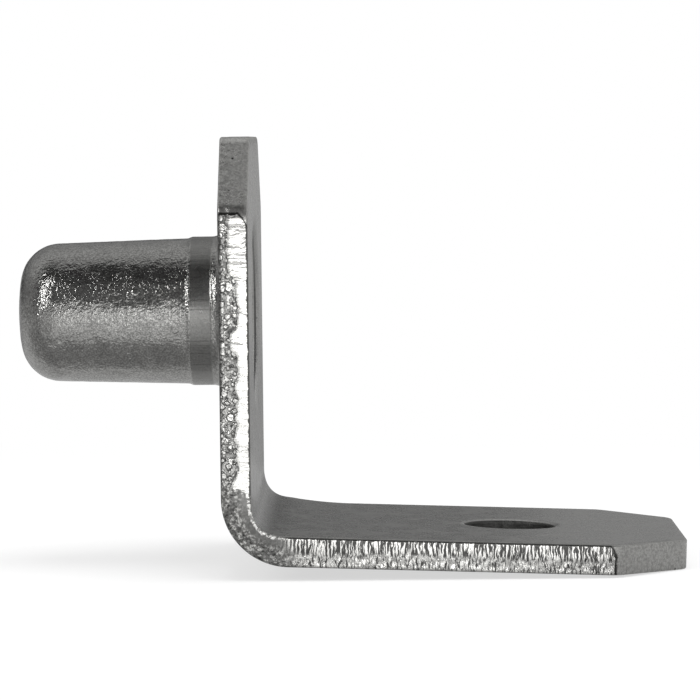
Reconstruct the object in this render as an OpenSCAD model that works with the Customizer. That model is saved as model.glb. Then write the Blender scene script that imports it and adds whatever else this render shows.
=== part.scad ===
// Shelf support pin: a small angle bracket with its peg, made from one strip of steel.
// The strip is blanked flat, the hollow peg is drawn out of it, and the tab is folded.
//
// Frame: the origin is on the peg's axis, in the plane of the plate's back face.
// The peg points along -X, the tab runs towards +X, the bracket's width is along Y,
// and +Z is up. All sizes are in millimetres and all angles in degrees.

/* [Sheet] */
// Thickness of the sheet
sheet_t = 1.3; // [1:0.1:1.8]
// Width of the bracket
width = 15.9; // [12:0.1:24]
// Height of the plate's top edge above the peg's axis
plate_rise = 7.7; // [6:0.1:16]
// Drop from the peg's axis to where the plate's front meets the tab's top
seat_drop = 9.25; // [7.5:0.1:18]
// Length of the tab, measured along it from the plate's back face
tab_len = 20; // [16.5:0.1:32]
// Length that each 45 degree corner cut takes off a side
corner = 3.15; // [1:0.05:4.5]

/* [Bend] */
// Angle between plate and tab, open by what springback leaves
bend_angle = 92; // [86:0.5:98]
// Inside radius of the bend
bend_r = 1.6; // [0.8:0.1:2.2]

/* [Sheared edge] */
// How far the punch's rollover reaches in over the face
roll_in = 0.3; // [0.1:0.05:0.4]
// How far the rollover reaches down the edge
roll_down = 0.1; // [0.05:0.01:0.2]

/* [Screw hole] */
// Diameter of the screw hole in the tab
hole_d = 4; // [2.5:0.1:5]
// Distance from the plate's back face to the hole's centre, along the tab
hole_at = 12.45; // [8:0.1:13.5]

/* [Peg] */
// Length of the peg from the plate's back face
peg_len = 9.2; // [7:0.1:12]
// Diameter of the peg at the wide end of its taper
peg_d = 6.5; // [5.4:0.05:8]
// Draft on each side of the peg
draft = 1.8; // [0.5:0.1:3]
// Length of the smooth band at the root, which grips the hole
band_len = 1.1; // [0.5:0.1:2]
// How far the band stands out from the taper
band_step = 0.05; // [0.02:0.01:0.15]
// Radius in the corner between the band and the plate's back face
root_r = 0.6; // [0.3:0.05:0.9]
// Radius round the peg's nose
nose_r = 1.75; // [1.2:0.05:2.2]
// Height of the shallow dome that closes the peg
crown = 0.1; // [0.05:0.01:0.25]
// Wall of the drawn peg
peg_wall = 1.1; // [0.8:0.05:1.3]
// Radius of the mouth, where the plate's front face sweeps into the peg
mouth_r = 2.5; // [1.8:0.1:3]

/* [Hidden] */

$fn = 96;
cut = 1; // how far a cutter runs past the metal
lap = 0.001; // how far an arc runs past the lines it meets, so that they cross cleanly

// Bend: the angle that the tab turns through, what it takes from each flat, and its
// centre in the side view, as x and z
turn = 180 - bend_angle;
inner_tangent = bend_r * tan(turn / 2);
outer_tangent = (bend_r + sheet_t) * tan(turn / 2);
bend_start = inner_tangent - seat_drop;
bend_c = [sheet_t + bend_r, bend_start];
tab_flat = tab_len - outer_tangent;
tab_end = bend_start - tab_flat; // height of the tab's end before the strip is folded

// Peg, as radius and as distance out from the plate's back face. The nose's arc meets
// the taper at nose_start, and it meets the crown's arc at crown_start.
peg_r = peg_d / 2;
band_r = peg_r + band_step;
band_end = root_r + band_len;
taper_start = band_end + band_step;
nose_h = peg_len - crown - nose_r;
nose_c = peg_r - (nose_h - taper_start) * tan(draft) - nose_r / cos(draft);
nose_start = nose_h + nose_r * sin(draft);
crown_r = (nose_c ^ 2 + (nose_r + crown) ^ 2 - nose_r ^ 2) / (2 * crown);
crown_start = nose_c * crown_r / (crown_r - nose_r);

// Hollow of the peg, which follows the outside at one wall's distance
mouth_in = peg_r - peg_wall;
mouth_out = mouth_in + mouth_r;
mouth_h = mouth_r - sheet_t;
floor_r = nose_r - peg_wall;
floor_h = peg_len - peg_wall;
floor_c = mouth_in - (floor_h - floor_r - mouth_h) * tan(draft) - floor_r / cos(draft);

// Where a point of the unfolded strip, as x and z, goes when the tab is folded
function fold(p) = bend_c + [
    cos(turn) * (p.x - bend_c.x) - sin(turn) * (p.y - bend_c.y),
    sin(turn) * (p.x - bend_c.x) + cos(turn) * (p.y - bend_c.y)
];

// Does the same to what is drawn on the unfolded strip
module folded() {
    translate([bend_c.x, 0, bend_c.y])
        rotate([0, -turn, 0])
            translate([-bend_c.x, 0, -bend_c.y])
                children();
}

// Folded strip from the side, with both ends too long: sharp corners first, then the
// bend's inside and outside arcs
module side_view() {
    difference() {
        polygon([
            [0, plate_rise + cut], [sheet_t, plate_rise + cut],
            [sheet_t, bend_start], bend_c, fold([sheet_t, bend_start]),
            fold([sheet_t, tab_end - cut]), fold([0, tab_end - cut]),
            [0, bend_start - outer_tangent]
        ]);
        translate(bend_c)
            circle(bend_r + lap);
        difference() {
            polygon([
                bend_c, [-cut, bend_start],
                [-cut, bend_start - (bend_c.x + cut) * tan(turn / 2)],
                fold([-cut, bend_start])
            ]);
            translate(bend_c)
                circle(bend_r + sheet_t + lap);
        }
    }
}

module strip() {
    rotate([90, 0, 0])
        linear_extrude(width, center = true)
            side_view();
}

// What the rollover takes off a long edge, as x through the sheet and y across it
module edge_wedge() {
    translate([sheet_t, width / 2])
        polygon([[-2 * roll_down, roll_in], [roll_down, -2 * roll_in], [roll_down, roll_in]]);
}

// Rolls over the two long edges of the face that the punch met first: along the plate,
// along the tab, and round the bend, where it reaches a hair deeper
module rolled_sides() {
    for (side = [0, 1])
        mirror([0, side, 0]) {
            translate([0, 0, bend_start])
                linear_extrude(plate_rise - bend_start + cut)
                    edge_wedge();
            folded()
                translate([0, 0, tab_end - cut])
                    linear_extrude(tab_flat + cut)
                        edge_wedge();
            translate([bend_c.x, 0, bend_c.y])
                rotate([90, 180, 0])
                    rotate_extrude(angle = turn)
                        translate([bend_c.x + 5 * lap, 0])
                            mirror([1, 0])
                                edge_wedge();
        }
}

// One stroke of the blanking punch: it takes all above z = 0 and rolls that edge over
module sheared_off() {
    rotate([90, 0, 0])
        linear_extrude(3 * width, center = true)
            polygon([
                [-cut, 0], [sheet_t - roll_down, 0],
                [sheet_t + roll_down, -2 * roll_in], [sheet_t + cut, -2 * roll_in],
                [sheet_t + cut, width], [-cut, width]
            ]);
}

// Cuts a strip's upper end square at z = 0 and takes off its two corners
module end_trim() {
    sheared_off();
    for (side = [-1, 1])
        translate([0, side * (width - corner) / 2, -corner / 2])
            rotate([-side * 45, 0, 0])
                sheared_off();
}

// The hole is punched from the same side, so its upper rim is rolled over too
module screw_hole() {
    translate([0, 0, -cut])
        cylinder(h = sheet_t + 2 * cut, d = hole_d);
    translate([0, 0, sheet_t - roll_down])
        cylinder(h = 2 * roll_down, d1 = hole_d, d2 = hole_d + 4 * roll_in);
}

module bracket() {
    difference() {
        strip();
        rolled_sides();
        translate([0, 0, plate_rise])
            end_trim();
        folded() {
            translate([0, 0, tab_end])
                mirror([0, 0, 1])
                    end_trim();
            translate([0, 0, bend_start + outer_tangent - hole_at])
                rotate([0, 90, 0])
                    screw_hole();
        }
    }
}

// Half outline of the drawn peg: gripping band and taper, rounded by the nose's arc and
// closed by the crown's, with the root's fillet at the plate
module peg_outline() {
    past_end = peg_len + cut;
    intersection() {
        polygon([
            [0, 0], [band_r, 0], [band_r, band_end], [peg_r, taper_start],
            [peg_r - (past_end - taper_start) * tan(draft), past_end], [0, past_end]
        ]);
        union() {
            square([band_r + cut, nose_start]);
            translate([nose_c, nose_h])
                circle(nose_r + lap);
            square([crown_start, past_end]);
        }
        translate([0, peg_len - crown_r])
            circle(crown_r, $fn = 360);
    }
    difference() {
        square([band_r + root_r, root_r]);
        translate([band_r + root_r, root_r])
            circle(root_r + lap);
    }
}

// Half outline of the hollow: the mouth's sweep, the drafted bore and its rounded floor
module hollow_outline() {
    difference() {
        translate([0, -sheet_t - cut])
            square([mouth_out, cut + mouth_r]);
        translate([mouth_out, mouth_h])
            circle(mouth_r + lap);
    }
    intersection() {
        polygon([
            [0, 0], [mouth_in + mouth_h * tan(draft), 0],
            [mouth_in - (floor_h - mouth_h) * tan(draft), floor_h], [0, floor_h]
        ]);
        union() {
            square([mouth_out, floor_h - floor_r + floor_r * sin(draft)]);
            translate([floor_c, floor_h - floor_r])
                circle(floor_r + lap);
            square([floor_c, floor_h]);
        }
    }
}

module peg() {
    rotate([0, -90, 0])
        rotate_extrude()
            peg_outline();
}

module hollow() {
    rotate([0, -90, 0])
        rotate_extrude()
            hollow_outline();
}

module shelf_pin() {
    color([0.74, 0.74, 0.73])
        difference() {
            union() {
                bracket();
                peg();
            }
            hollow();
        }
}

shelf_pin();
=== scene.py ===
import math

import bmesh
import bpy
import numpy as np
from mathutils import Matrix, Vector
from mathutils.geometry import delaunay_2d_cdt


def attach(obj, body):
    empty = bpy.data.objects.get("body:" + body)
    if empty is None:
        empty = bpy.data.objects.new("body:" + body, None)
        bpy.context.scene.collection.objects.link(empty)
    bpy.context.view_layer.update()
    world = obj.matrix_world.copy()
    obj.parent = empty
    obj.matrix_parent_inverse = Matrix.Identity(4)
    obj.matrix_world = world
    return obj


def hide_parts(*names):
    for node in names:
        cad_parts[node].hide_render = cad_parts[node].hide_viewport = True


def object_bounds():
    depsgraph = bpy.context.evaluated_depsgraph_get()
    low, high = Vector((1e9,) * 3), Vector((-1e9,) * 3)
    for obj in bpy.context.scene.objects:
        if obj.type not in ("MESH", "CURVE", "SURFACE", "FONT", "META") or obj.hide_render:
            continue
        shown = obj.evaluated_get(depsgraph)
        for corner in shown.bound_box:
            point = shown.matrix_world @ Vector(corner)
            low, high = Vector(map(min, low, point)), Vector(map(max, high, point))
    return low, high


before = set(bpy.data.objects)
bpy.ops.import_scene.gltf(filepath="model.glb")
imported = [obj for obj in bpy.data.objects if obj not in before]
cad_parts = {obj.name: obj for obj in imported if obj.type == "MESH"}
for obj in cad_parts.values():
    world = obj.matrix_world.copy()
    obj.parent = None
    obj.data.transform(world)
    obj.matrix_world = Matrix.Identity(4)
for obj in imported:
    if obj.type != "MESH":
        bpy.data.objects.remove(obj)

cad_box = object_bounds()

# ---------------------------------------------------------------------------
# Shelf pin: the blank
# The pin starts as a flat strip of mild steel sheet, blanked in a press with its four
# corners cut at 45 degrees. The punch rounds the edge over on the front, shears a smooth
# land below that, and the rest of the thickness breaks away rough.
# ---------------------------------------------------------------------------

# Blank sizes in millimetres: x through the sheet from its back, y across, z along it. The
# tab stops a hair short, by tab_shy, so that its tip stays inside the CAD part.
sheet_t = 1.3
half_width = 7.95
plate_top = 7.7
corner_cut = 3.15
corner_round = 0.9
seat_drop = 9.25
tab_len = 20
tab_shy = 0.001
bend_inner = 1.6
bend_turn = math.radians(88)
bend_neutral = bend_inner + sheet_t / 2
inner_tangent = bend_inner * math.tan(bend_turn / 2)
outer_tangent = (bend_inner + sheet_t) * math.tan(bend_turn / 2)
bend_start = inner_tangent - seat_drop
bend_end = bend_start - bend_neutral * bend_turn
tab_end = bend_end - (tab_len - outer_tangent - tab_shy)
edge_step = 0.08
arc_steps = 6

blank_points = []
blank_faces = []
blank_zones = {"cut": [], "trim": [], "drawn": [], "inside": []}


def add_ring(ring, **zones):
    """Adds a ring of points with their zones of the metal, and returns their numbers."""
    first = len(blank_points)
    blank_points.extend(ring)
    for zone, values in blank_zones.items():
        value = zones.get(zone, 0.0)
        values.extend(value if isinstance(value, list) else [value] * len(ring))
    return list(range(first, first + len(ring)))


def join_rings(a, b):
    """Joins two rings of as many points with a band of four-sided faces."""
    for i in range(len(a)):
        j = (i + 1) % len(a)
        blank_faces.append((a[i], a[j], b[j], b[i]))


def join_all(rings):
    """Joins each ring of a list to the next."""
    for a, b in zip(rings, rings[1:]):
        join_rings(a, b)


# The outline, walked once round, with the way inwards at each step
corners = []
for top, end in ((1, plate_top), (-1, tab_end)):
    shoulder = end - top * corner_cut
    narrow = half_width - corner_cut
    side = [(half_width, shoulder), (narrow, end), (-narrow, end), (-half_width, shoulder)]
    corners.extend(side if top == 1 else side[::-1])
corners = [Vector(c) for c in corners]
outline = []
inwards = []
for i, corner in enumerate(corners):
    before = (corner - corners[i - 1]).normalized()
    after = (corners[(i + 1) % 8] - corner).normalized()
    turn = before.angle(after)
    setback = corner_round * math.tan(turn / 2)
    centre = corner - before * setback + Vector((-before.y, before.x)) * corner_round
    for k in range(arc_steps + 1):
        a = math.atan2(-before.x, before.y) + turn * k / arc_steps
        out = Vector((math.cos(a), math.sin(a)))
        outline.append(centre + out * corner_round)
        inwards.append(-out)
    start = corner + after * setback
    run = (corners[(i + 1) % 8] - corner).length - 2 * setback
    steps = round(run / edge_step)
    for k in range(1, steps):
        outline.append(start + after * (run * k / steps))
        inwards.append(Vector((-after.y, after.x)))

# The section of the sheared edge, from the back face to the front: how far in, how deep.
# Its two margins lie on the faces, where the rows that fill them take over.
roll_in = 0.3
roll_down = 0.07
back_round = 0.07
back_margin = 0.32
front_margin = 0.42
back_steps = 4
side_rows = 16
roll_steps = 6
edge_section = [(back_margin, 0)]
for k in range(back_steps + 1):
    a = math.pi / 2 * k / back_steps
    edge_section.append((back_round * (1 - math.sin(a)), back_round * (1 - math.cos(a))))
for k in range(1, side_rows):
    edge_section.append((0, back_round + (sheet_t - roll_down - back_round) * k / (side_rows - 1)))
for k in range(1, roll_steps + 1):
    a = math.pi / 2 * k / roll_steps
    edge_section.append((roll_in * (1 - math.cos(a)), sheet_t - roll_down * (1 - math.sin(a))))
edge_section.append((front_margin, sheet_t))

# The corner cuts and the two ends were trimmed by another die, which left them smoother
cut_reach = 0.05
trim_reach = 0.2
trimmed = [min(1.0, 6.0 * (1 - abs(n.x))) for n in inwards]
edge_rings = []
for inset, x in edge_section:
    ring = [(x, p.x + n.x * inset, p.y + n.y * inset) for p, n in zip(outline, inwards)]
    on_edge = max(0.0, 1 - inset / trim_reach)
    ring_trim = [t * on_edge for t in trimmed]
    edge_rings.append(add_ring(ring, cut=1.0 if inset < cut_reach else 0.0, trim=ring_trim))
join_all(edge_rings)

# ---------------------------------------------------------------------------
# Shelf pin: the peg
# The peg is drawn out of the plate by a punch, so it is one with the sheet and hollow,
# with a radius round its mouth. Its skin has the orange peel of drawn steel, and the
# band at its root, which grips the hole in the cabinet's side, is burnished by the die.
# ---------------------------------------------------------------------------

# Peg sizes, as distance out from the plate's back and as radius. The band slopes down to
# the taper in a soft shoulder. The nose lies where a taper from peg_r at peg_r_at ends.
peg_len = 9.2
peg_r = 3.25
peg_r_at = 1.75
draft = math.radians(1.8)
root_r = 0.6
root_margin = 0.14
band_r = 3.3
shoulder_start = 1.44
shoulder_drop = 0.06
shoulder_steps = 8
taper_start = 1.70
nose_r = 1.75
crown = 0.1
crown_reach = 1.65
crown_steps = 20
peg_columns = 240
peg_step = 0.085

# The nose's arc meets the taper at nose_start, and the crown's flatter arc closes it
nose_out = peg_len - crown - nose_r
nose_in = peg_r - (nose_out - peg_r_at) * math.tan(draft) - nose_r / math.cos(draft)
nose_start = nose_out + nose_r * math.sin(draft)
tip_r = nose_in + nose_r * math.cos(draft)
crown_r = (nose_in ** 2 + (nose_r + crown) ** 2 - nose_r ** 2) / (2 * crown)
crown_centre = peg_len - crown_r
crown_out = crown_centre + math.sqrt(crown_r ** 2 - crown_reach ** 2)


def arc(centre, radius, start, end, step):
    """Points of an arc round a centre, each as distance out and radius; angles in degrees."""
    n = max(2, math.ceil(radius * math.radians(abs(end - start)) / step))
    angles = [math.radians(start + (end - start) * k / n) for k in range(n + 1)]
    return [(centre[0] + radius * math.sin(a), centre[1] + radius * math.cos(a)) for a in angles]


def line(a, b, step):
    """Points of a straight line from a to b, without a itself."""
    n = max(1, round(math.dist(a, b) / step))
    return [(a[0] + (b[0] - a[0]) * k / n, a[1] + (b[1] - a[1]) * k / n) for k in range(1, n + 1)]


nose_begin = math.degrees(math.atan2(nose_start - nose_out, tip_r - nose_in))
nose_end = math.degrees(math.atan2(crown_out - nose_out, crown_reach - nose_in))
peg_profile = [(0, band_r + root_r + root_margin)]
peg_profile += arc((root_r, band_r + root_r), root_r, -90, -180, peg_step)
peg_profile += line((root_r, band_r), (shoulder_start, band_r), peg_step)
for k in range(1, shoulder_steps + 1):
    u = k / shoulder_steps
    fall = shoulder_drop * u * u * (3 - 2 * u)
    peg_profile.append((shoulder_start + (taper_start - shoulder_start) * u, band_r - fall))
peg_profile += line(peg_profile[-1], (nose_start, tip_r), peg_step)
peg_profile += arc((nose_out, nose_in), nose_r, nose_begin, nose_end, peg_step)[1:]
for k in range(1, crown_steps):
    r = crown_reach * (1 - k / crown_steps)
    peg_profile.append((crown_centre + math.sqrt(crown_r ** 2 - r ** 2), r))


def turned(profile, columns, **zone):
    """Rings round the peg's axis for each point of a profile."""
    rings = []
    for out, r in profile:
        angles = [2 * math.pi * k / columns for k in range(columns)]
        rings.append(add_ring([(-out, r * math.cos(a), r * math.sin(a)) for a in angles], **zone))
    return rings


def close_end(ring, out, **zone):
    """Closes the end of a turned shape with a fan round one point on the axis."""
    tip = add_ring([(-out, 0, 0)], **zone)[0]
    for i in range(len(ring)):
        blank_faces.append((ring[i], ring[(i + 1) % len(ring)], tip))


peg_rings = turned(peg_profile[:1], peg_columns) + turned(peg_profile[1:], peg_columns, drawn=1.0)
join_all(peg_rings)
close_end(peg_rings[-1], peg_len, drawn=1.0)

# The hollow that the punch leaves follows the outside at one wall's distance, from the
# mouth's radius down to the floor. Past its first rings it is rougher and darkened with painted shade.
peg_wall = 1.1
mouth_r = 2.5
mouth_in = peg_r - peg_wall
mouth_out = mouth_in + mouth_r
mouth_margin = 0.2
mouth_depth = mouth_r - sheet_t
mouth_steps = 24
bright_rings = 14
floor_r = nose_r - peg_wall
floor_depth = peg_len - peg_wall
floor_out = floor_depth - floor_r
floor_in = mouth_in - (floor_out - mouth_depth) * math.tan(draft) - floor_r / math.cos(draft)
floor_middle = 0.15
hollow_columns = 120
hollow_profile = [(-sheet_t, mouth_out + mouth_margin)]
for k in range(mouth_steps + 1):
    a = math.pi / 2 * k / mouth_steps
    hollow_profile.append((mouth_depth - mouth_r * math.cos(a), mouth_out - mouth_r * math.sin(a)))
hollow_profile += line((mouth_depth, mouth_in), (floor_out, floor_in + floor_r), 0.3)
hollow_profile += arc((floor_out, floor_in), floor_r, 0, 90, 0.12)[1:]
hollow_profile += line((floor_depth, floor_in), (floor_depth, floor_middle), 0.25)
hollow_rings = turned(hollow_profile[:bright_rings], hollow_columns)
hollow_rings += turned(hollow_profile[bright_rings:], hollow_columns, inside=1.0)
join_all(hollow_rings)
close_end(hollow_rings[-1], floor_depth, inside=1.0)

# ---------------------------------------------------------------------------
# Shelf pin: the screw hole
# The hole in the tab takes the screw that holds the shelf down. It is punched from the
# front, so its wall has a rounded rim, a smooth land and a rough break, like the edge.
# ---------------------------------------------------------------------------

hole_r = 2.0
hole_at = 12.45
hole_z = bend_end - (hole_at - outer_tangent)
hole_columns = 120
hole_back_margin = 0.3
hole_front_margin = 0.4
rim_in = 0.26
rim_down = 0.12
rim_steps = 5
burr_depth = 0.06
flare = 0.035
flare_depth = 0.6
wall_steps = 12
wall_reach = 0.045
hole_section = [(hole_back_margin, 0), (0.12, 0), (0.05, 0), (0.02, 0.012)]
for k in range(wall_steps + 1):
    x = burr_depth + (sheet_t - rim_down - burr_depth) * k / wall_steps
    hole_section.append((flare * max(0.0, 1 - x / flare_depth), x))
for k in range(1, rim_steps + 1):
    a = math.pi / 2 * k / rim_steps
    hole_section.append((rim_in * (1 - math.cos(a)), sheet_t - rim_down * (1 - math.sin(a))))
hole_section.append((hole_front_margin, sheet_t))
hole_rings = []
for out, x in hole_section:
    angles = [2 * math.pi * k / hole_columns for k in range(hole_columns)]
    r = hole_r + out
    ring = [(x, r * math.cos(a), hole_z + r * math.sin(a)) for a in angles]
    wall = 1.0 if out < wall_reach else 0.0
    # The hole's wall, like the hollow, is darkened with painted shade
    hole_rings.append(add_ring(ring, cut=wall, trim=wall, inside=wall))
join_all(hole_rings)

# The two rolled faces of the sheet, between the edge, the peg and the screw hole. The
# rows lie close together where the press brake will fold them.
row_gap = 0.22
row_step = 0.5
bend_row_step = 0.12
row_points = 31


def edges_of(triangle):
    a, b, c = triangle
    return {frozenset((a, b)), frozenset((b, c)), frozenset((c, a))}


def fill_face(x, margin, edge_ring, round_ring, hole_ring):
    """Fills the face at depth x, between its edge and two round rings, with rows of points.

    The first point of a round ring lies straight across from its centre, so its y is the radius.
    """
    numbers = []
    sides = []
    for ring in (edge_ring, round_ring, hole_ring):
        first = len(numbers)
        numbers.extend(ring)
        n = len(ring)
        sides.extend((first + k, first + (k + 1) % n) for k in range(n))
    points = [Vector(blank_points[n][1:]) for n in numbers]
    round_reach = blank_points[round_ring[0]][1] + row_gap
    hole_reach = blank_points[hole_ring[0]][1] + row_gap
    gap = margin + row_gap
    rows = list(np.arange(plate_top - gap, bend_start + 0.3, -row_step))
    rows += list(np.arange(bend_start + 0.2, bend_end - 0.3, -bend_row_step))
    rows += list(np.arange(bend_end - 0.5, tab_end + gap, -row_step))
    grid_start = len(numbers)
    for z in rows:
        for y in np.linspace(gap - half_width, half_width - gap, row_points):
            near_corner = min(plate_top - z, z - tab_end) + half_width - abs(y)
            if near_corner < corner_cut + gap * 1.5:
                continue
            if math.hypot(y, z) < round_reach or math.hypot(y, z - hole_z) < hole_reach:
                continue
            numbers.append(add_ring([(x, y, z)])[0])
            points.append(Vector((y, z)))
    found = delaunay_2d_cdt(points, sides, [], 0, 1e-7)
    origins = [sources[0] for sources in found[3]]
    triangles = [tuple(origins[v] for v in triangle) for triangle in found[2]]
    fences = {frozenset(side) for side in sides}
    beside = {}
    for triangle in triangles:
        for edge in edges_of(triangle):
            beside.setdefault(edge, []).append(triangle)

    # The face is what can be reached from the rows without a step across a ring
    kept = {triangle for triangle in triangles if max(triangle) >= grid_start}
    waiting = list(kept)
    while waiting:
        for edge in edges_of(waiting.pop()) - fences:
            fresh = [triangle for triangle in beside[edge] if triangle not in kept]
            kept.update(fresh)
            waiting.extend(fresh)
    blank_faces.extend(tuple(numbers[v] for v in triangle) for triangle in triangles if triangle in kept)


fill_face(0, back_margin, edge_rings[0], peg_rings[0], hole_rings[0])
fill_face(sheet_t, front_margin, edge_rings[-1], hollow_rings[0], hole_rings[-1])

mm = 0.001
blank_mesh = bpy.data.meshes.new("shelf_pin_blank")
blank_mesh.from_pydata([(x * mm, y * mm, z * mm) for x, y, z in blank_points], [], blank_faces)
for zone, values in blank_zones.items():
    blank_mesh.attributes.new(zone, "FLOAT", "POINT").data.foreach_set("value", values)
work = bmesh.new()
work.from_mesh(blank_mesh)
bmesh.ops.recalc_face_normals(work, faces=work.faces)
for face in work.faces:
    face.smooth = True
work.to_mesh(blank_mesh)
work.free()
blank = bpy.data.objects.new("shelf_pin_blank", blank_mesh)
bpy.context.scene.collection.objects.link(blank)

# ---------------------------------------------------------------------------
# Shelf pin: relief of the sheared edge and the skin, and the fold
# The blank is folded over a press brake's punch once the peg is drawn. What the blanking
# and drawing tools left on the metal follows it round the bend.
# ---------------------------------------------------------------------------


def add(tree, kind, wires=(), **settings):
    """Adds a node. A wire that is a node or a socket is linked, and any other is a value."""
    made = tree.nodes.new(kind)
    for name, value in settings.items():
        setattr(made, name, value)
    for socket, value in dict(wires).items():
        if isinstance(value, bpy.types.Node):
            value = value.outputs[0]
        if isinstance(value, bpy.types.NodeSocket):
            tree.links.new(value, made.inputs[socket])
        else:
            made.inputs[socket].default_value = value
    return made


def calc(tree, operation, *values):
    """A sum on numbers. MULTIPLY_ADD is the first times the second, plus the third."""
    return add(tree, "ShaderNodeMath", dict(enumerate(values)), operation=operation)


def times(tree, *values):
    product = values[0]
    for value in values[1:]:
        product = calc(tree, "MULTIPLY", product, value)
    return product


def ramp(tree, value, low, high, start=0.0, end=1.0):
    """A smooth step from start to end as the value goes from low to high."""
    return add(tree, "ShaderNodeMapRange",
               {0: value, 1: low, 2: high, 3: start, 4: end}, interpolation_type="SMOOTHSTEP")


def noise(tree, place, scale, detail=2.0, roughness=0.5):
    return add(tree, "ShaderNodeTexNoise",
               {"Vector": place, "Scale": scale, "Detail": detail, "Roughness": roughness})


def stretched(tree, place, x, y, z):
    return add(tree, "ShaderNodeVectorMath", {0: place, 1: (x, y, z)}, operation="MULTIPLY")


press = bpy.data.node_groups.new("press_and_fold", "GeometryNodeTree")
press_sizes = {
    "Bend Start": bend_start * mm,
    "Bend Inner Radius": bend_inner * mm,
    "Bend Turn": bend_turn,
    "Sheet Thickness": sheet_t * mm,
    "Break Depth": 0.045 * mm,
    "Land Score Depth": 0.004 * mm,
    "Skin Peel Height": 0.02 * mm,
    "Bend Draw In": 0.10 * mm,
    "Bend Thinning": 0.14 * mm,
    "Bend Bulge": 0.17 * mm,
    "Bulge Reach": 2.6 * mm,
    "Seed": 40.0,
}
press.interface.new_socket("Geometry", in_out="INPUT", socket_type="NodeSocketGeometry")
for name in press_sizes:
    press.interface.new_socket(name, in_out="INPUT", socket_type="NodeSocketFloat")
press.interface.new_socket("Plated Steel", in_out="INPUT", socket_type="NodeSocketMaterial")
press.interface.new_socket("Geometry", in_out="OUTPUT", socket_type="NodeSocketGeometry")
given = press.nodes.new("NodeGroupInput").outputs


def zone_of(tree, name):
    """How far a point lies in one of the metal's zones, which the mesh carries."""
    if tree.type == "GEOMETRY":
        carried = add(tree, "GeometryNodeInputNamedAttribute", {"Name": name}, data_type="FLOAT")
        return carried.outputs["Attribute"]
    return add(tree, "ShaderNodeAttribute", attribute_name=name).outputs["Fac"]


place = add(press, "GeometryNodeInputPosition")
flat = add(press, "ShaderNodeVectorMath", {0: place, "Scale": 1 / mm}, operation="SCALE")
seeded = add(press, "ShaderNodeVectorMath", {0: flat, 1: given["Seed"]}, operation="ADD")
flat_xyz = add(press, "ShaderNodeSeparateXYZ", {0: flat}).outputs
depth = flat_xyz["X"]
cut = zone_of(press, "cut")
trim = zone_of(press, "trim")
drawn = zone_of(press, "drawn")

# Where the rough break gives way to the smooth land, in millimetres from the sheet's back:
# the worn punch leaves it uneven along the edge, and the two edges differ
break_heights = [
    (4.6, 0.40), (2.1, 0.38), (1.4, 0.78), (-0.2, 0.78), (-0.6, 0.52), (-1.2, 0.48), (-1.6, 0.78),
    (-4.3, 0.73), (-5.1, 0.60), (-5.7, 0.74), (-6.7, 0.72), (-7.0, 0.42), (-7.9, 0.50), (-10.0, 0.56),
    (-14.0, 0.50), (-18.0, 0.60), (-22.0, 0.50), (-28.0, 0.56),
]
edge_side = ramp(press, flat_xyz["Y"], -1.0, 1.0)
along = calc(press, "MULTIPLY_ADD", edge_side, 2.9, flat_xyz["Z"])
along = add(press, "ShaderNodeMapRange", {0: along, 1: tab_end, 2: plate_top})
break_curve = add(press, "ShaderNodeFloatCurve", {"Value": along})
break_points = break_curve.mapping.curves[0].points
for height, depth_there in break_heights:
    break_points.new((height - tab_end) / (plate_top - tab_end), depth_there)
for point in break_points:
    point.handle_type = "VECTOR"
break_points[0].location = (0, break_heights[-1][1])
break_points[len(break_points) - 1].location = (1, break_heights[0][1])
break_curve.mapping.update()
wander = noise(press, stretched(press, seeded, 0.0, 2.6, 2.6), 1.0, 3.0, 0.6)
break_line = calc(press, "ADD", break_curve, calc(press, "MULTIPLY_ADD", wander, 0.5, -0.25))
above_break = calc(press, "SUBTRACT", depth, break_line)
down_tab = ramp(press, flat_xyz["Z"], bend_start - 1.5, bend_end)
blend_width = calc(press, "MULTIPLY_ADD", down_tab, 0.22, 0.06)
land = ramp(press, above_break, times(press, blend_width, -1.0), blend_width)
broken = calc(press, "SUBTRACT", 1.0, land)

# The break: rounded grains with creases between them
grains = add(press, "ShaderNodeTexVoronoi", {"Vector": seeded, "Scale": 4.0, "Smoothness": 0.3},
             feature="SMOOTH_F1")
grain_dip = times(press, grains, grains)
lumps = noise(press, seeded, 2.2, 3.0, 0.55)
break_relief = calc(press, "MULTIPLY_ADD", grain_dip, 1.6, lumps)
break_relief = times(press, break_relief, broken)
squeezed = times(press, ramp(press, flat_xyz["Z"], bend_start + 0.4, bend_start - 0.4),
                 ramp(press, flat_xyz["Z"], bend_end - 0.4, bend_end + 0.4))
calmer_tab = ramp(press, flat_xyz["Z"], bend_end + 0.3, bend_end - 0.5, 1.0, 0.4)
calmer_bend = calc(press, "MULTIPLY_ADD", squeezed, -0.6, 1.0)
break_relief = times(press, break_relief, calmer_bend, calmer_tab, given["Break Depth"])

# The land: scores that run through the sheet, the way the punch went
scores = noise(press, stretched(press, seeded, 0.5, 5.0, 5.0), 1.0, 2.0, 0.6)
land_relief = times(press, scores, given["Land Score Depth"])
edge_relief = calc(press, "ADD", break_relief, land_relief)
smoother_trim = calc(press, "MULTIPLY_ADD", trim, -0.75, 1.0)
edge_relief = times(press, edge_relief, smoother_trim, cut)

# The peg's skin: orange peel on the taper and the nose, next to none on the band
peel = noise(press, seeded, 2.3, 2.0, 0.5)
fine_peel = noise(press, seeded, 5.5, 1.0, 0.5)
peel = calc(press, "MULTIPLY_ADD", fine_peel, 0.35, peel)
off_band = ramp(press, depth, -1.48, -1.73, 0.12, 1.0)
peg_relief = times(press, peel, off_band, drawn, given["Skin Peel Height"])
relief = calc(press, "ADD", edge_relief, peg_relief)
inward = times(press, relief, -1.0)
dent = add(press, "ShaderNodeVectorMath",
           {0: add(press, "GeometryNodeInputNormal"), "Scale": inward}, operation="SCALE")

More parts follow.
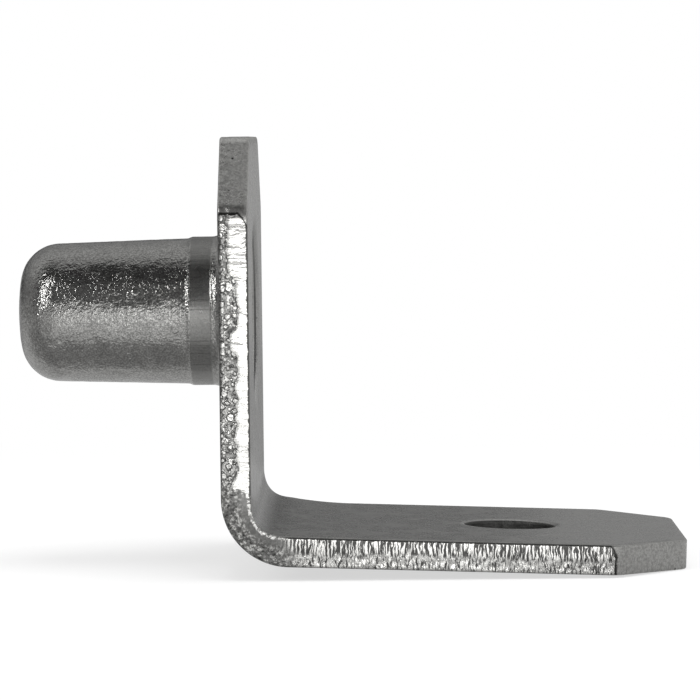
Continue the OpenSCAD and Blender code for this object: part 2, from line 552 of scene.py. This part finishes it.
metal = given["Geometry"]
for name, value, kind in (("flat", seeded, "FLOAT_VECTOR"), ("land", land, "FLOAT")):
    metal = add(press, "GeometryNodeStoreNamedAttribute",
                {"Geometry": metal, "Name": name, "Value": value}, data_type=kind, domain="POINT")
metal = add(press, "GeometryNodeSetPosition", {"Geometry": metal, "Offset": dent})

# The fold: what lies past the bend's start turns about the bend's centre, then runs straight
below = add(press, "ShaderNodeSeparateXYZ", {0: add(press, "GeometryNodeInputPosition")}).outputs
sunk = calc(press, "SUBTRACT", given["Bend Start"], below["Z"])
neutral = calc(press, "MULTIPLY_ADD", given["Sheet Thickness"], 0.5, given["Bend Inner Radius"])
bend_length = times(press, neutral, given["Bend Turn"])
in_bend = add(press, "ShaderNodeClamp", {0: sunk, 1: 0.0, 2: bend_length})
angle = calc(press, "DIVIDE", in_bend, neutral)
straight = calc(press, "SUBTRACT", sunk, in_bend)
centre_x = calc(press, "ADD", given["Bend Inner Radius"], given["Sheet Thickness"])
through = calc(press, "DIVIDE", below["X"], given["Sheet Thickness"])
radius = calc(press, "SUBTRACT", centre_x, below["X"])

# The sheet thins where it bends, and past the bend the tab swells a little towards its far side
part_way = calc(press, "DIVIDE", in_bend, bend_length)
hump = calc(press, "SINE", times(press, part_way, math.pi))
thinned = times(press, hump, hump, through, given["Bend Thinning"])
radius = calc(press, "ADD", radius, thinned)
squared = times(press, part_way, part_way)
cubed = times(press, squared, part_way)
rise = calc(press, "MULTIPLY_ADD", cubed, -2.0, times(press, squared, 3.0))
steeper = calc(press, "DIVIDE", bend_length, given["Bulge Reach"])
steeper = times(press, calc(press, "SUBTRACT", squared, cubed), steeper, 2.0)
rise = calc(press, "ADD", rise, steeper)
fall = add(press, "ShaderNodeMapRange", {0: straight, 1: 0.0, 2: given["Bulge Reach"], 3: 1.0, 4: 0.0})
to_far_side = ramp(press, below["Y"], -half_width * mm, half_width * mm, 0.1, 1.0)
bulge = times(press, rise, fall, fall, to_far_side, through, given["Bend Bulge"])
radius = calc(press, "SUBTRACT", radius, bulge)
cosine = calc(press, "COSINE", angle)
sine = calc(press, "SINE", angle)
folded_x = calc(press, "SUBTRACT", centre_x, times(press, radius, cosine))
folded_x = calc(press, "MULTIPLY_ADD", straight, sine, folded_x)
folded_z = calc(press, "SUBTRACT", given["Bend Start"], times(press, radius, sine))
folded_z = calc(press, "SUBTRACT", folded_z, times(press, straight, cosine))

# The outside of the bend stretches, so the strip draws in a little there
outer = calc(press, "SUBTRACT", 1.0, through)
draw_in = times(press, hump, outer, given["Bend Draw In"])
draw_in = calc(press, "DIVIDE", draw_in, half_width * mm)
narrower = times(press, below["Y"], calc(press, "SUBTRACT", 1.0, draw_in))
folded = add(press, "ShaderNodeCombineXYZ", {0: folded_x, 1: narrower, 2: folded_z})
metal = add(press, "GeometryNodeSetPosition", {"Geometry": metal, "Position": folded})
metal = add(press, "GeometryNodeRealizeInstances", {"Geometry": metal})
metal = add(press, "GeometryNodeSetMaterial", {"Geometry": metal, "Material": given["Plated Steel"]})
add(press, "NodeGroupOutput", {"Geometry": metal})

# ---------------------------------------------------------------------------
# Shelf pin: the plating
# The pressing is barrel plated with bright nickel, so every surface is metal, and what
# differs is how smooth the steel was beneath: rolled, sheared, broken, drawn or burnished.
# Painted shade and painted highlights are laid into the colour in places as well.
# ---------------------------------------------------------------------------


def less(tree, value):
    """1 minus a value."""
    return calc(tree, "SUBTRACT", 1.0, value)


def mix_shades(tree, factor, a, b):
    return add(tree, "ShaderNodeMix", {0: factor, 6: a, 7: b}, data_type="RGBA").outputs[2]


def shade_of(tree, factor, low, high):
    """A colour between two greys, which are very slightly warm, as nickel is."""
    low, high = ((v, v * 0.995, v * 0.965, 1) for v in (low, high))
    return mix_shades(tree, factor, low, high)


def mix_values(tree, factor, a, b):
    return add(tree, "ShaderNodeMix", {0: factor, 2: a, 3: b}, data_type="FLOAT").outputs[0]


def darkened(tree, shade, by):
    return add(tree, "ShaderNodeMix", {0: 1.0, 6: shade, 7: by},
               data_type="RGBA", blend_type="MULTIPLY").outputs[2]


def cells(tree, place, scale):
    return add(tree, "ShaderNodeTexVoronoi", {"Vector": place, "Scale": scale}, feature="F1")


def shaken(tree, place, amount):
    """A place on the blank, moved along the strip by an amount in millimetres."""
    move = add(tree, "ShaderNodeCombineXYZ", {"Z": amount})
    return add(tree, "ShaderNodeVectorMath", {0: place, 1: move}, operation="ADD")


plated = bpy.data.materials.new("plated_steel")
plated.use_nodes = True
paint = plated.node_tree
shader = paint.nodes["Principled BSDF"]
shader.inputs["Metallic"].default_value = 1.0
cut = zone_of(paint, "cut")
trim = zone_of(paint, "trim")
land = zone_of(paint, "land")
drawn = zone_of(paint, "drawn")
inside = zone_of(paint, "inside")

# Textures take the seeded place on the blank, and zones the plain one, in millimetres
seed = press_sizes["Seed"]
on_flat = add(paint, "ShaderNodeAttribute", attribute_name="flat").outputs["Vector"]
on_blank = add(paint, "ShaderNodeVectorMath", {0: on_flat, 1: (seed, seed, seed)}, operation="SUBTRACT")
blank_xyz = add(paint, "ShaderNodeSeparateXYZ", {0: on_blank}).outputs
edge_x, edge_z = blank_xyz["X"], blank_xyz["Z"]
on_tab = ramp(paint, edge_z, bend_start, bend_end)
torn = noise(paint, on_flat, 7.0, 3.0, 0.65)
torn_z = calc(paint, "MULTIPLY_ADD", torn, 1.1, edge_z)
from_middle = calc(paint, "SUBTRACT", edge_x, 0.8)
bend_top = calc(paint, "MULTIPLY_ADD", from_middle, 0.5, torn_z)
bend_bottom = calc(paint, "MULTIPLY_ADD", from_middle, -0.5, torn_z)
in_bend = times(paint, ramp(paint, bend_top, bend_start + 0.98, bend_start + 0.80),
                ramp(paint, bend_bottom, bend_end - 0.05, bend_end + 1.05))

# Rolled faces: a fine grain with faint patches and a few pinholes in the plating
patches = noise(paint, on_flat, 0.8, 3.0, 0.6)
fine_grain = noise(paint, on_flat, 11.0, 3.0, 0.65)
speckle = noise(paint, on_flat, 17.0, 2.0, 0.6)
face_tone = calc(paint, "MULTIPLY_ADD", speckle, 1.1, ramp(paint, patches, 0.3, 0.7, 0.0, 0.2))
face_shade = shade_of(paint, ramp(paint, face_tone, 0.35, 0.95), 0.37, 0.64)
mottled = noise(paint, on_flat, 9.0, 4.0, 0.75)
trim_shade = shade_of(paint, ramp(paint, mottled, 0.36, 0.64), 0.45, 0.71)
face_shade = mix_shades(paint, trim, face_shade, trim_shade)
pinholes = ramp(paint, cells(paint, on_flat, 1.3), 0.05, 0.10, 0.12, 1.0)
face_shade = darkened(paint, face_shade, pinholes)

# Painted shade: the front face round the inside of the bend is darkened, and so is a fine
# ring round the peg's mouth, darker low down
bend_painted_shade = times(paint, ramp(paint, edge_x, 1.25, 1.29),
               ramp(paint, edge_z, bend_start + 1.6, bend_start + 0.1),
               ramp(paint, edge_z, bend_end - 0.2, bend_end + 1.9))
# Painted shade: a thin dark ring at the mouth's rim, darker towards its bottom
mouth_shade_r = 3.72
in_plane = stretched(paint, on_blank, 0, 1, 1)
from_axis = add(paint, "ShaderNodeVectorMath", {0: in_plane}, operation="LENGTH").outputs["Value"]
ring_off = calc(paint, "ABSOLUTE", calc(paint, "SUBTRACT", from_axis, mouth_shade_r))
mouth_painted_shade = times(paint, ramp(paint, ring_off, 0.13, 0.05), ramp(paint, edge_x, 0.7, 0.8),
                   ramp(paint, edge_z, 3.0, -1.5, 0.6, 1.0))
painted_shade = calc(paint, "MAXIMUM", times(paint, bend_painted_shade, 0.40), times(paint, mouth_painted_shade, 0.92))
face_shade = mix_shades(paint, painted_shade, face_shade, (0.0, 0.0, 0.0, 1))

# The sheared edge ends at each corner cut, rounded towards the front and with a dark line
corner_line = 0.16
tongue = calc(paint, "MAXIMUM", 0.0, calc(paint, "SUBTRACT", edge_x, 0.80))
tongue = times(paint, tongue, tongue, ramp(paint, on_tab, 0.0, 1.0, 2.6, 1.2))
past_top = calc(paint, "SUBTRACT", edge_z, plate_top - corner_cut - corner_line)
past_end = calc(paint, "SUBTRACT", tab_end + corner_cut + corner_line, edge_z)
past_ends = calc(paint, "ADD", calc(paint, "MAXIMUM", past_top, past_end), tongue)
past_ends = calc(paint, "MULTIPLY_ADD", torn, 0.22, past_ends)
open_cut = times(paint, cut, ramp(paint, past_ends, 0.12, 0.08))
end_line = times(paint, cut, ramp(paint, past_ends, 0.06, 0.12), ramp(paint, past_ends, 0.26, 0.17))
face_shade = mix_shades(paint, end_line, face_shade, (0.05, 0.05, 0.048, 1))

# Smooth land: bright, with thin dark scores across it near the plate's top, and drawn into
# close bright streaks on the tab. Where the edge rolls over it has an uneven dark line of
# painted shade, which round the bend turns into a beaded painted highlight
wavy = noise(paint, stretched(paint, on_flat, 2.2, 1.2, 1.2), 1.0, 2.0, 0.6)
score_place = stretched(paint, shaken(paint, on_flat, times(paint, wavy, 0.35)), 0.75, 2.0, 9.5)
score_noise = noise(paint, score_place, 1.0, 2.0, 0.55)
near_top = ramp(paint, edge_z, 1.0, 2.0)
score_count = calc(paint, "MULTIPLY_ADD", near_top, -0.15, score_noise)
plate_scores = ramp(paint, score_count, 0.29, 0.35, 0.30, 1.0)
fine_scores = noise(paint, stretched(paint, on_flat, 1.5, 2.0, 15.0), 1.0, 2.0, 0.6)
plate_scores = times(paint, plate_scores, ramp(paint, fine_scores, 0.36, 0.50, 0.72, 1.0))
streak_wander = noise(paint, stretched(paint, on_flat, 2.4, 2.0, 3.0), 1.0, 2.0, 0.5)
streak_place = shaken(paint, on_flat, times(paint, streak_wander, 0.22))


def streaks_across(run, count):
    """Streaks through the sheet: a larger run makes them shorter, a larger count closer."""
    return noise(paint, stretched(paint, streak_place, run, 2.0, count), 1.0, 3.0, 0.6)


streaks = ramp(paint, streaks_across(1.2, 12.5), 0.485, 0.53)
short_streaks = ramp(paint, streaks_across(2.4, 12.5), 0.42, 0.49, 0.05, 1.0)
scores = mix_values(paint, on_tab, plate_scores, streaks)
land_shade = shade_of(paint, scores, 0.08, 0.94)
rim_wander = noise(paint, stretched(paint, on_flat, 0.0, 4.5, 4.5), 1.0, 3.0, 0.75)
rim_place = calc(paint, "MULTIPLY_ADD", rim_wander, -0.26, edge_x)
rim_place = calc(paint, "MULTIPLY_ADD", in_bend, 0.09, rim_place)
rim = ramp(paint, rim_place, 1.05, 1.09)
highlight_beads = noise(paint, on_flat, 10.0, 1.0, 0.5)
rim_painted_shade_and_highlight = shade_of(paint, times(paint, in_bend, ramp(paint, highlight_beads, 0.42, 0.52, 0.22, 1.0)), 0.12, 0.98)
land_shade = mix_shades(paint, rim, land_shade, rim_painted_shade_and_highlight)

# Rough break: rounded grains, each with a painted highlight and ringed by creases with
# painted shade in them, in a duller torn ground
ragged = 0.16
torn_place = add(paint, "ShaderNodeVectorMath",
                 {0: torn.outputs["Color"], 1: (ragged, ragged, ragged), 2: on_flat},
                 operation="MULTIPLY_ADD")
long_grains = stretched(paint, torn_place, 0.45, 1.0, 1.25)
grain_place = add(paint, "ShaderNodeMix", {0: on_tab, 4: torn_place, 5: long_grains},
                  data_type="VECTOR").outputs[1]


def grain_layer(scale, fewest):
    """Round grains of one size: a painted highlight on each, and how far each point is from a crease."""
    grains = cells(paint, grain_place, scale)
    pick = add(paint, "ShaderNodeSeparateXYZ", {0: grains.outputs["Color"]}).outputs["X"]
    size = calc(paint, "MULTIPLY_ADD", pick, -0.45, grains.outputs["Distance"])
    grain_highlight_and_height = ramp(paint, size, fewest + 0.10, fewest - 0.06)
    from_crease = calc(paint, "ABSOLUTE", calc(paint, "SUBTRACT", size, fewest + 0.09))
    return grain_highlight_and_height, ramp(paint, from_crease, 0.0, 0.10)


large_grain_highlight, large_ring = grain_layer(3.5, 0.10)
small_grain_highlight, small_ring = grain_layer(7.5, 0.14)
grain_highlight_and_height = calc(paint, "MAXIMUM", large_grain_highlight, times(paint, small_grain_highlight, 0.82))
crease_shade_and_height = calc(paint, "MINIMUM", large_ring, ramp(paint, small_ring, 0.0, 1.0, 0.35, 1.0))
torn_ground = ramp(paint, torn, 0.32, 0.68, 0.18, 0.58)
break_tone = calc(paint, "MAXIMUM", grain_highlight_and_height, torn_ground)
# Painted shade in the creases darkens the break's colour, less so on the tab
break_tone = times(paint, break_tone, ramp(paint, crease_shade_and_height, 0.0, 1.0, 0.12, 1.0))
tab_tone = times(paint, short_streaks, ramp(paint, crease_shade_and_height, 0.0, 0.8, 0.5, 1.0))
break_tone = mix_values(paint, on_tab, break_tone, tab_tone)
back_strip = calc(paint, "SUBTRACT", edge_x, ramp(paint, edge_z, -3.6, -3.0, 0.02, 0.14))
break_tone = times(paint, break_tone, ramp(paint, back_strip, -0.04, 0.02, 0.28, 1.0))
break_shade = shade_of(paint, break_tone, 0.07, 0.98)
land_edge = calc(paint, "MULTIPLY_ADD", torn, 0.7, calc(paint, "SUBTRACT", land, 0.35))
on_land = ramp(paint, land_edge, calc(paint, "MULTIPLY_ADD", on_tab, -0.3, 0.46),
               calc(paint, "MULTIPLY_ADD", on_tab, 0.3, 0.54))
from_outline = calc(paint, "ABSOLUTE", calc(paint, "SUBTRACT", land_edge, 0.42))
outlined = mix_values(paint, on_tab, ramp(paint, from_outline, 0.05, 0.14, 0.25, 1.0), 1.0)
cut_shade = mix_shades(paint, on_land, break_shade, land_shade)
cut_shade = darkened(paint, cut_shade, outlined)

# Round the bend the edge is stretched and squeezed, so it is duller and closely speckled
crushed = noise(paint, on_flat, 9.5, 3.0, 0.7)
crushed_more = ramp(paint, edge_x, 1.05, 0.50)
specks = ramp(paint, crushed, 0.52, 0.61, 0.0, 0.60)
pits = ramp(paint, crushed, 0.44, 0.36, 0.0, -0.16)
bend_tone = times(paint, calc(paint, "ADD", specks, pits), crushed_more)
bend_tone = calc(paint, "ADD", bend_tone, ramp(paint, torn, 0.3, 0.7, 0.16, 0.26))
above_bend = ramp(paint, edge_z, bend_start - 0.9, bend_start + 0.2)
smoother = times(paint, less(paint, crushed_more), above_bend)
bend_tone = calc(paint, "MULTIPLY_ADD", smoother, 0.10, bend_tone)
bend_shade = shade_of(paint, bend_tone, 0.02, 0.98)
# Painted highlight: the beaded rim round the bend, laid over the speckled edge
bend_shade = mix_shades(paint, times(paint, rim, land), bend_shade, rim_painted_shade_and_highlight)
cut_shade = mix_shades(paint, in_bend, cut_shade, bend_shade)

# The peg's drawn skin, and the band that the die burnished at its root
on_band = times(paint, ramp(paint, edge_x, -1.54, -1.44), ramp(paint, edge_x, -0.5, -0.62))
band_lines = noise(paint, stretched(paint, on_flat, 0.3, 15.0, 15.0), 1.0, 3.0, 0.7)
skin_patches = noise(paint, on_flat, 1.4, 4.0, 0.6)
skin_grain = noise(paint, on_flat, 13.0, 2.0, 0.6)
skin_tone = calc(paint, "ADD", ramp(paint, skin_patches, 0.3, 0.7, 0.0, 0.3),
                 ramp(paint, skin_grain, 0.39, 0.61, 0.0, 0.7))
skin_shade = shade_of(paint, skin_tone, 0.24, 0.48)
band_tone = calc(paint, "ADD", ramp(paint, band_lines, 0.33, 0.41, 0.0, 0.75),
                 ramp(paint, skin_grain, 0.39, 0.61, 0.0, 0.25))
band_shade = shade_of(paint, band_tone, 0.10, 0.30)
skin_shade = mix_shades(paint, on_band, skin_shade, band_shade)
shade = mix_shades(paint, open_cut, face_shade, cut_shade)
shade = mix_shades(paint, drawn, shade, skin_shade)
# Painted shade: the hollow past its mouth and the screw hole's wall are darkened
recess_painted_shade = shade_of(paint, skin_patches, 0.09, 0.21)
shade = mix_shades(paint, inside, shade, recess_painted_shade)
paint.links.new(shade, shader.inputs["Base Color"])

# Roughness: what each zone adds to that of the rolled face
broken_tab = times(paint, open_cut, on_tab, less(paint, land))
front_trim = times(paint, trim, ramp(paint, edge_x, 1.10, 1.20))
rough = ramp(paint, patches, 0.3, 0.7, 0.24, 0.32)
for zone, more in ((times(paint, open_cut, land), -0.08), (times(paint, open_cut, in_bend), 0.16),
                   (broken_tab, -0.08), (drawn, -0.19), (times(paint, drawn, on_band), 0.20),
                   (inside, 0.14), (front_trim, 0.25)):
    rough = calc(paint, "MULTIPLY_ADD", zone, more, rough)
paint.links.new(rough.outputs[0], shader.inputs["Roughness"])

# Heights in millimetres of what is finer than the mesh
peel = noise(paint, on_flat, 2.4, 4.0, 0.6)
peel_fine = noise(paint, on_flat, 7.0, 2.0, 0.6)
peel_fine = times(paint, peel_fine, ramp(paint, skin_patches, 0.38, 0.60, 0.5, 1.3))
blisters = ramp(paint, cells(paint, on_flat, 1.1), 0.20, 0.12, 0.0, 0.5)
peel = calc(paint, "MULTIPLY_ADD", peel, 0.7, calc(paint, "ADD", peel_fine, blisters))
peel = calc(paint, "MULTIPLY_ADD", skin_grain, 0.40, peel)
peel_height = times(paint, peel, drawn, less(paint, on_band), 0.027)
band_height = times(paint, band_lines, drawn, on_band, 0.010)
score_height = times(paint, scores, open_cut, on_land, 0.008)
grain_height = times(paint, calc(paint, "ADD", crease_shade_and_height, grain_highlight_and_height), open_cut, less(paint, on_land), 0.012)
grain_height = times(paint, grain_height, calc(paint, "MULTIPLY_ADD", in_bend, -0.7, 1.0),
                     calc(paint, "MULTIPLY_ADD", on_tab, -0.6, 1.0))
trim_height = times(paint, mottled, trim, 0.012)
height = times(paint, fine_grain, 0.0026)
for more in (peel_height, band_height, score_height, grain_height, trim_height):
    height = calc(paint, "ADD", height, more)
bump = add(paint, "ShaderNodeBump", {"Strength": 1.0, "Distance": mm, "Height": height})
paint.links.new(bump.outputs[0], shader.inputs["Normal"])

# The tree is run once, and what comes out of it is kept as a plain mesh
presswork = blank.modifiers.new("press_and_fold", "NODES")
presswork.node_group = press
for socket in press.interface.items_tree:
    if socket.in_out == "INPUT" and socket.name in press_sizes:
        presswork[socket.identifier] = press_sizes[socket.name]
    if socket.name == "Plated Steel":
        presswork[socket.identifier] = plated
finished = blank.evaluated_get(bpy.context.evaluated_depsgraph_get())
pin_mesh = bpy.data.meshes.new_from_object(finished)
pin_mesh.name = "shelf_pin_plated"
blank.modifiers.clear()
bpy.data.objects.remove(blank)
pin = bpy.data.objects.new("shelf_pin_plated", pin_mesh)
bpy.context.scene.collection.objects.link(pin)
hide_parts("shelf_pin")
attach(pin, "root")

# ---------------------------------------------------------------------------
# Studio floor and background
# A pale sheet that the pin stands on. Near the pin it is lit like anything else, so the
# shadow stays, and further out it turns into the plain white of the background.
# ---------------------------------------------------------------------------


def seen_directly(tree):
    """1 for what the camera, a reflection or glass sees, and 0 for light on its way."""
    path = add(tree, "ShaderNodeLightPath").outputs
    seen = calc(tree, "MAXIMUM", path["Is Camera Ray"], path["Is Glossy Ray"])
    return calc(tree, "MAXIMUM", seen, path["Is Transmission Ray"])


world = bpy.data.worlds.new("studio")
world.use_nodes = True
bpy.context.scene.world = world
background = world.node_tree.nodes["Background"]
background.inputs["Color"].default_value = (1, 1, 1, 1)
world_light = ramp(world.node_tree, seen_directly(world.node_tree), 0.0, 1.0, 0.75, 1.0)
world.node_tree.links.new(world_light.outputs[0], background.inputs["Strength"])


def sheet_of(name, corner_points, material):
    """A flat four-sided card in the studio, which isn't part of the pin."""
    mesh = bpy.data.meshes.new(name)
    mesh.from_pydata(corner_points, [], [(0, 1, 2, 3)])
    mesh.materials.append(material)
    card = bpy.data.objects.new(name, mesh)
    bpy.context.scene.collection.objects.link(card)
    return card


floor_z = cad_box[0].z
floor_paper = bpy.data.materials.new("floor_paper")
floor_paper.use_nodes = True
tree = floor_paper.node_tree
tree.nodes.remove(tree.nodes["Principled BSDF"])
lit = add(tree, "ShaderNodeBsdfDiffuse", {"Color": (0.86, 0.86, 0.86, 1)})
white = add(tree, "ShaderNodeEmission", {"Color": (1, 1, 1, 1), "Strength": 1.0})
spot = add(tree, "ShaderNodeTexCoord").outputs["Object"]
from_pin = add(tree, "ShaderNodeVectorMath", {0: spot, 1: (0.006, 0, floor_z)}, operation="DISTANCE")
far = ramp(tree, from_pin.outputs["Value"], 0.014, 0.07, 0.6, 1.0)
blend_in = times(tree, far, seen_directly(tree))
paper = add(tree, "ShaderNodeMixShader", {0: blend_in, 1: lit, 2: white})
tree.links.new(paper.outputs[0], tree.nodes["Material Output"].inputs["Surface"])
reach = 3.0
sheet_of("floor", [(-reach, -reach, floor_z), (reach, -reach, floor_z),
                   (reach, reach, floor_z), (-reach, reach, floor_z)], floor_paper)

# ---------------------------------------------------------------------------
# Studio lights and cards
# Bright metal shows what stands round it. It mirrors two softboxes and a set of cards,
# dark, grey and pale, and a third softbox, above and not mirrored, gives the shadow.
# ---------------------------------------------------------------------------


def softbox(name, at, aim, width, height, power, mirrored=True):
    lamp = bpy.data.lights.new(name, "AREA")
    lamp.shape = "RECTANGLE"
    lamp.size = width
    lamp.size_y = height
    lamp.energy = power
    box = bpy.data.objects.new(name, lamp)
    box.location = at
    box.rotation_euler = (Vector(aim) - Vector(at)).to_track_quat("-Z", "Y").to_euler()
    box.visible_glossy = mirrored
    bpy.context.scene.collection.objects.link(box)


softbox("camera_softbox", at=(0.03, -0.30, -0.003), aim=(0.006, 0, -0.003),
        width=0.12, height=0.03, power=0.030)
softbox("left_softbox", at=(-0.102, -0.106, 0.088), aim=(-0.0078, -0.003, 0.001),
        width=0.012, height=0.095, power=0.058)
softbox("top_softbox", at=(0.05, -0.05, 0.30), aim=(0, 0, 0),
        width=0.20, height=0.20, power=0.6, mirrored=False)


def mirror_card(name, corner_points, brightness):
    """A card that only reflections see, as flat and even as cloth."""
    cloth = bpy.data.materials.new(name)
    cloth.use_nodes = True
    nodes = cloth.node_tree
    nodes.nodes.remove(nodes.nodes["Principled BSDF"])
    glow = add(nodes, "ShaderNodeEmission",
               {"Color": (brightness, brightness, brightness, 1), "Strength": 1.0})
    nodes.links.new(glow.outputs[0], nodes.nodes["Material Output"].inputs["Surface"])
    card = sheet_of(name, corner_points, cloth)
    card.visible_camera = False
    card.visible_diffuse = False
    card.visible_shadow = False


# How far the cards reach to each side, how high they lie over the floor, and where the
# cards for the peg's upper side stop, just past its nose
wide = 0.6
card_lift = 0.00002
peg_side = -0.0098


def band_card(name, low, high, brightness, left=-wide, right=wide, distance=0.19):
    """A long card that covers the elevations from low to high, front to back, in degrees."""
    ends = []
    for degrees in (low, high):
        a = math.radians(degrees)
        ends.append((-distance * math.cos(a), distance * math.sin(a)))
    (y1, z1), (y2, z2) = ends
    mirror_card(name, [(left, y1, z1), (right, y1, z1), (right, y2, z2), (left, y2, z2)], brightness)


def lying_card(name, spots, brightness, lift=card_lift):
    """A card on the floor, by the places of its corners."""
    mirror_card(name, [(x, y, floor_z + lift) for x, y in spots], brightness)


def floor_card(name, left, right, front, back, brightness):
    lying_card(name, [(left, front), (right, front), (right, back), (left, back)], brightness)


def upright_card(name, start, end, low, high, brightness):
    """A card that stands between two places on the floor plan, from one height to another."""
    mirror_card(name, [(*start, low), (*end, low), (*end, high), (*start, high)], brightness)


band_card("dark_card_low", 5, 14, 0.15, right=-0.0122)
band_card("dark_card_front", 14, 50, 0.17)
band_card("dark_card_top", 50, 85, 0.06)
band_card("dark_card_peg", 85, 101, 0.08, right=peg_side, distance=0.185)
band_card("dim_card_peg", 101, 108, 0.30, right=peg_side, distance=0.185)
band_card("grey_card_top", 85, 135, 0.54)
band_card("grey_card_back", 135, 166, 0.32)
band_card("dim_card_back", 166, 177.5, 0.09, right=0.022)
band_card("mid_card_back", 166, 177.5, 0.26, left=0.022, right=0.07)
band_card("pale_card_back", 177.5, 184, 0.42)
floor_card("dim_card_below", -wide, 0.0205, -0.013, 0, 0.32)
floor_card("bright_card_front", 0.005, 0.04, -0.06, -0.0128, 1.15)
floor_card("pale_card_near", -0.0115, 0.005, -0.03, -0.0131, 0.78)
floor_card("pale_card_mid", -0.0145, 0.003, -0.098, -0.0301, 0.88)
floor_card("bright_card_peg", -0.028, -0.005, -0.135, -0.0982, 5.0)
floor_card("grey_card_side", 0.0205, wide, -0.05, 0, 0.40)
floor_card("grey_card_floor", -wide, wide, 0, 0.05, 0.58)
floor_card("dim_card_floor", -wide, wide, 0.05, 0.19, 0.33)
lying_card("dim_card_left", [(-0.0115, -0.012), (-0.3, -0.012), (-0.3, -0.20), (-0.0475, -0.20)], 0.54)
lying_card("dark_card_floor", [(-0.021, -0.012), (-0.022, -0.009), (-0.12, -0.05), (-0.11, -0.07)], 0.06,
           lift=2 * card_lift)

# Upright: a dark card that the peg's mouth mirrors, the two side walls, and a dark card
# that stands left of the nose
upright_card("dark_card_mouth", (0.10, 0.186), (0.15, 0.186), 0.005, 0.03, 0.03)
upright_card("grey_card_left", (-0.24, 0.19), (-0.24, -0.12), floor_z, 0.19, 0.30)
upright_card("grey_card_right", (0.19, 0.19), (0.19, -0.12), floor_z, 0.19, 0.45)
upright_card("dark_card_left", (-0.12, -0.048), (-0.11, -0.068), -0.01, 0.04, 0.06)

# ---------------------------------------------------------------------------
# Camera: a long lens, nearly level with the pin and square to its side
# ---------------------------------------------------------------------------

lens = bpy.data.cameras.new("camera")
lens.sensor_width = 36
lens.lens = 192.55
lens.clip_start = 0.01
camera = bpy.data.objects.new("camera", lens)
camera_at = (0.007513, -0.166171, 0.00726)
turn_left = Matrix.Rotation(math.radians(0.708), 3, "Z")
tilt_down = Matrix.Rotation(math.radians(90 - 3.126), 3, "X")
roll = Matrix.Rotation(math.radians(-0.65), 3, "Z")
camera_turn = (turn_left @ tilt_down @ roll).to_4x4()
camera.matrix_world = Matrix.Translation(camera_at) @ camera_turn
bpy.context.scene.collection.objects.link(camera)
bpy.context.scene.camera = camera
bpy.context.scene.view_settings.view_transform = "Standard"
